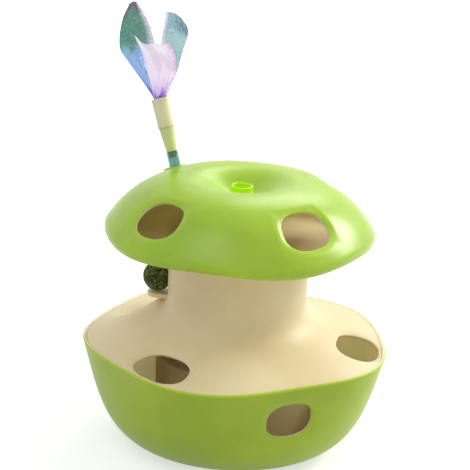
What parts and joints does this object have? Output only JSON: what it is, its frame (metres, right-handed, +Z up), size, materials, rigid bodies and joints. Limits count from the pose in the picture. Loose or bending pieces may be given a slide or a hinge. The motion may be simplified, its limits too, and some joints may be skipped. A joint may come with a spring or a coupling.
{
  "type": "rotating mouse cat toy",
  "caption": "Apple-core cat toy: a driven mouse circles inside the bowl under paw holes, below a swivelling cap with a teaser wand and a catnip ball.",
  "frame": {"origin": "centre of the floor that the feet stand on, under the bowl's axis", "axes": "+Z up along the toy's axis, -Y to the front with the bowl's paw hole, +X to the right"},
  "size_m": [0.237, 0.237, 0.3321],
  "materials": {
    "green_shell": "satin apple-green moulding",
    "cream_core": "satin cream moulding",
    "white_nylon": "natural nylon",
    "steel": "plain bright",
    "brass": "turned",
    "mouse_plush": "short grey plush",
    "mouse_skin": "pink felt",
    "dark_plastic": "fine texture",
    "cell_jacket": "plain sleeve",
    "board": "solder mask",
    "rubber_foot": "matte",
    "stem_green": "clear green",
    "clear_tube": "clear, faint teal",
    "cream_lure": "satin",
    "film": "iridescent film",
    "catnip": "pressed dried leaf"
  },
  "bodies": {
    "base": {"bowl": "green_shell", "mouse_track": "cream_core", "core_deck": "cream_core", "drum_lid": "cream_core", "shaft_bush": "white_nylon", "gear_plate": "steel", "gear_cover_plate": "steel", "gear_posts": "brass", "gear_axle": "steel", "motor": "steel", "battery_box": "dark_plastic", "batteries": "cell_jacket", "battery_contacts": "steel", "battery_door": "green_shell", "door_screw": "steel", "circuit_board": "board", "switch_case": "dark_plastic", "rubber_feet": "rubber_foot", "base_screws": "steel", "swivel_ring": "white_nylon", "ball_pin": "stem_green"},
    "rotor": {"rotor_gear": "white_nylon", "rotor_arm": "cream_core", "rotor_screw": "steel", "mouse_body": "mouse_plush", "mouse_head": "mouse_plush", "mouse_ears": "mouse_skin", "mouse_tail": "mouse_skin"},
    "compound": {"compound_gear": "white_nylon"},
    "pinion": {"motor_pinion": "brass"},
    "power_switch": {"switch_slider": "white_nylon"},
    "cap": {"cap": "green_shell", "cap_floor": "cream_core", "cap_screws": "steel", "stem": "stem_green", "wand_socket": "green_shell", "pivot_bolt": "steel", "pivot_washer": "steel", "pivot_nut": "steel"},
    "wand": {"wand_tube": "clear_tube"},
    "lure": {"lure_plug": "cream_lure", "lure_collar": "cream_lure", "film_left": "film", "film_right": "film", "film_front": "film"},
    "ball": {"catnip_ball": "catnip"}
  },
  "joints": [
    {"name": "rotor_spin", "type": "hinge", "parent": "base", "child": "rotor", "pos_m": [0, 0, 0.048], "axis": [0, 0, 1], "continuous": true},
    {"name": "compound_spin", "type": "hinge", "parent": "base", "child": "compound", "pos_m": [0.0144, -0.02494, 0.045], "axis": [0, 0, 1], "continuous": true},
    {"name": "pinion_spin", "type": "hinge", "parent": "base", "child": "pinion", "pos_m": [-0.0059, -0.03233, 0.042], "axis": [0, 0, 1], "continuous": true},
    {"name": "cap_spin", "type": "hinge", "parent": "base", "child": "cap", "pos_m": [0, 0, 0.1675], "axis": [0, 0, 1], "continuous": true},
    {"name": "ball_spin", "type": "hinge", "parent": "base", "child": "ball", "pos_m": [-0.06303, 0.01111, 0.128], "axis": [0, 0, 1], "continuous": true},
    {"name": "wand_twist", "type": "hinge", "parent": "cap", "child": "wand", "pos_m": [-0.05358, 0.04658, 0.208], "axis": [-0.2581, 0.2244, 0.9397], "continuous": true},
    {"name": "lure_pull", "type": "slide", "parent": "wand", "child": "lure", "axis": [-0.2581, 0.2244, 0.9397], "range_m": [0, 0.004]},
    {"name": "switch_slide", "type": "slide", "parent": "base", "child": "power_switch", "axis": [1, 0, 0], "range_m": [0, 0.004]}
  ],
  "couplings": [
    {"joint": "compound_spin", "follows": "rotor_spin", "ratio": -5},
    {"joint": "pinion_spin", "follows": "rotor_spin", "ratio": 17.5}
  ]
}
